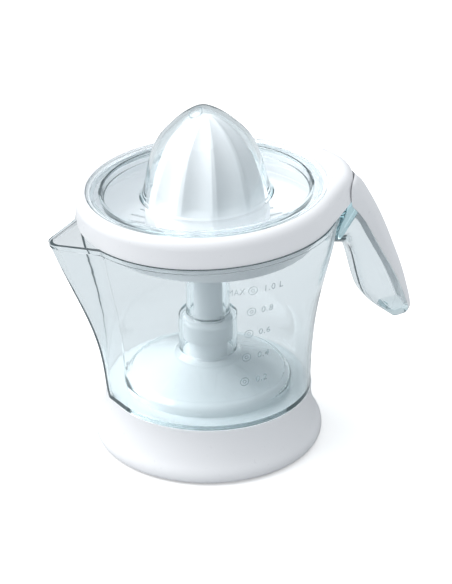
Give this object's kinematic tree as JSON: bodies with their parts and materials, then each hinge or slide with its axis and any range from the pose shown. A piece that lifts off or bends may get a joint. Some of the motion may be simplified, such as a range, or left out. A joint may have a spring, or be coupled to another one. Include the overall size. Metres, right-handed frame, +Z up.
{
  "type": "citrus press juicer",
  "caption": "Electric citrus press: white motor base, clear one-litre jug with pouring spout and hollow handle, white strainer ring, ribbed reaming cone and clear dome lid",
  "frame": {"origin": "where the spindle axis meets the surface that the juicer stands on", "axes": "+Z up along the spindle, +X towards the handle, -X towards the pouring spout"},
  "size_m": [0.2272, 0.1532, 0.2093],
  "materials": {
    "white_plastic": "satin",
    "cover_plastic": "satin",
    "clear_plastic": "polished",
    "seal_rubber": "matt",
    "foot_rubber": "matt",
    "gland_rubber": "matt",
    "steel": "ground",
    "zinc_steel": "zinc plated",
    "spring_steel": "drawn",
    "laminations": "oiled",
    "magnet": "sintered",
    "bronze": "sintered",
    "copper": "lacquered",
    "gear_nylon": "moulded",
    "black_plastic": "moulded",
    "bobbin_plastic": "moulded"
  },
  "bodies": {
    "base": {"base_housing": "white_plastic", "base_plate": "white_plastic", "rubber_feet": "foot_rubber", "housing_screws": "zinc_steel", "cord_gland": "gland_rubber", "tower_cap": "white_plastic", "shaft_seal": "seal_rubber", "upper_bush": "bronze", "lower_bush": "bronze", "gear_plate": "zinc_steel", "gear_plate_screws": "zinc_steel", "first_gear_axle": "steel", "second_gear_axle": "steel", "stator_core": "laminations", "motor_screws": "zinc_steel", "coil_bobbin": "bobbin_plastic", "coil_winding": "copper", "rotor_bearings": "bronze", "switch_body": "black_plastic", "switch_pin": "steel", "terminal_block": "bobbin_plastic"},
    "press": {"thrust_cup": "gear_nylon", "return_spring": "spring_steel"},
    "spindle": {"spindle_shaft": "steel", "retaining_ring": "spring_steel", "output_gear": "gear_nylon", "drive_spindle": "white_plastic"},
    "second_wheel": {"second_gear": "gear_nylon"},
    "first_wheel": {"first_gear": "gear_nylon"},
    "rotor": {"rotor_shaft": "steel", "rotor_magnet": "magnet", "rotor_pinion": "bronze"},
    "lever": {"switch_lever": "black_plastic"},
    "button": {"switch_button": "black_plastic"},
    "jug": {"jug": "clear_plastic", "handle_cover": "cover_plastic"},
    "strainer": {"collector": "white_plastic"},
    "lid": {"lid": "clear_plastic"},
    "wiper": {"pulp_wiper": "white_plastic"},
    "cone": {"juicing_cone": "white_plastic"}
  },
  "joints": [
    {"name": "spindle_press", "type": "slide", "parent": "base", "child": "press", "axis": [0, 0, 1], "range_m": [-0.0025, 0], "stiffness_N_per_m": 2000, "springref_m": 0.0015, "deforming": ["return_spring"]},
    {"name": "spindle_spin", "type": "hinge", "parent": "press", "child": "spindle", "pos_m": [0, 0, 0], "axis": [0, 0, 1], "continuous": true},
    {"name": "second_gear_spin", "type": "hinge", "parent": "base", "child": "second_wheel", "pos_m": [-0.0194, 0.0112, 0], "axis": [0, 0, 1], "continuous": true},
    {"name": "first_gear_spin", "type": "hinge", "parent": "base", "child": "first_wheel", "pos_m": [-0.0315, -0.0033, 0], "axis": [0, 0, 1], "continuous": true},
    {"name": "rotor_spin", "type": "hinge", "parent": "base", "child": "rotor", "pos_m": [-0.0221, -0.0197, 0], "axis": [0, 0, 1], "continuous": true},
    {"name": "lever_tilt", "type": "hinge", "parent": "base", "child": "lever", "pos_m": [0.024, 0.012, 0.0145], "axis": [0, 1, 0], "range_deg": [-6.2, 0]},
    {"name": "button_press", "type": "slide", "parent": "base", "child": "button", "axis": [0, 0, 1], "range_m": [-0.0012, 0]},
    {"name": "jug_lift", "type": "slide", "parent": "base", "child": "jug", "axis": [0, 0, 1], "range_m": [0, 0.14]},
    {"name": "strainer_lift", "type": "slide", "parent": "jug", "child": "strainer", "axis": [0, 0, 1], "range_m": [0, 0.08]},
    {"name": "lid_lift", "type": "slide", "parent": "strainer", "child": "lid", "axis": [-0.0436, 0, 0.999], "range_m": [0, 0.08]},
    {"name": "wiper_spin", "type": "hinge", "parent": "strainer", "child": "wiper", "pos_m": [0, 0, 0], "axis": [0, 0, 1], "continuous": true},
    {"name": "cone_press", "type": "slide", "parent": "wiper", "child": "cone", "axis": [0, 0, 1], "range_m": [-0.0025, 0]}
  ],
  "couplings": [
    {"joint": "spindle_spin", "follows": "rotor_spin", "ratio": -0.027211},
    {"joint": "second_gear_spin", "follows": "rotor_spin", "ratio": 0.081633},
    {"joint": "first_gear_spin", "follows": "rotor_spin", "ratio": -0.28571},
    {"joint": "wiper_spin", "follows": "rotor_spin", "ratio": -0.027211},
    {"joint": "cone_press", "follows": "spindle_press", "ratio": 1},
    {"joint": "lever_tilt", "follows": "spindle_press", "rad_per_m": 41.67},
    {"joint": "button_press", "follows": "spindle_press", "ratio": 0.44}
  ]
}
